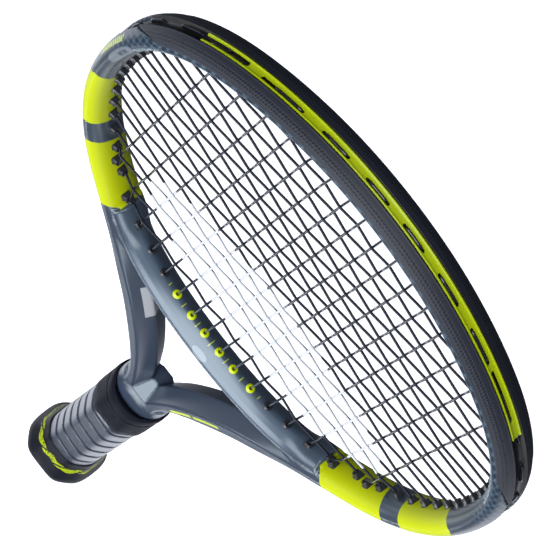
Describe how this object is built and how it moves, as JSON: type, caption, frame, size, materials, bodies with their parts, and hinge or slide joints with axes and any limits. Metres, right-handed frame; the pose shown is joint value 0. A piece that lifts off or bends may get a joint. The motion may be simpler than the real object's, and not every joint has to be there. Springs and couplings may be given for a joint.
{
  "type": "tennis racket",
  "caption": "Strung tennis racket with an oval hoop, open throat, bumper guard, grommets, rubber collar, wrapped grip and flared butt cap with a hinged trap door.",
  "frame": {"origin": "middle of the butt cap's end face", "axes": "+Y along the racket to the tip of the hoop, +X across the face, +Z square to the strings"},
  "size_m": [0.277, 0.6858, 0.04],
  "materials": {
    "frame_paint": "satin blue-grey lacquer over a woven carbon composite, with fluorescent yellow bands at the sides of the hoop",
    "guard_plastic": "satin black nylon with rows of small dimples",
    "yellow_plastic": "fluorescent yellow nylon",
    "grommet_plastic": "black nylon",
    "string_poly": "dark anthracite co-polyester string, smooth and shiny",
    "grip_synthetic": "black polyurethane grip, spiral wrapped, slightly tacky sheen",
    "tape_film": "black vinyl finishing tape",
    "collar_rubber": "matt black stretched rubber",
    "cap_rubber": "satin black moulded cap with a broken yellow band",
    "pallet_foam": "rigid grey polyurethane foam",
    "staple_steel": "bright staple wire"
  },
  "bodies": {
    "racket": {"frame": "frame_paint", "throat_bridge": "frame_paint", "bumper_guard": "guard_plastic", "bumper_insert_strip": "yellow_plastic", "side_grommets_left": "grommet_plastic", "side_grommets_right": "grommet_plastic", "bridge_grommets": "yellow_plastic", "throat_grommets_left": "grommet_plastic", "throat_grommets_right": "grommet_plastic", "main_string": "string_poly", "cross_string": "string_poly", "handle_pallet_upper": "pallet_foam", "handle_pallet_lower": "pallet_foam", "base_grip": "grip_synthetic", "finishing_tape": "tape_film", "rubber_collar": "collar_rubber", "butt_cap": "cap_rubber", "butt_cap_staple_1": "staple_steel", "butt_cap_staple_2": "staple_steel", "butt_cap_staple_3": "staple_steel", "butt_cap_staple_4": "staple_steel"},
    "trap_door": {"butt_trap_door": "cap_rubber"}
  },
  "joints": [
    {"name": "trap_door_hinge", "type": "hinge", "parent": "racket", "child": "trap_door", "pos_m": [0, 0.001, 0.0072], "axis": [-1, 0, 0], "range_deg": [0, 100]}
  ]
}
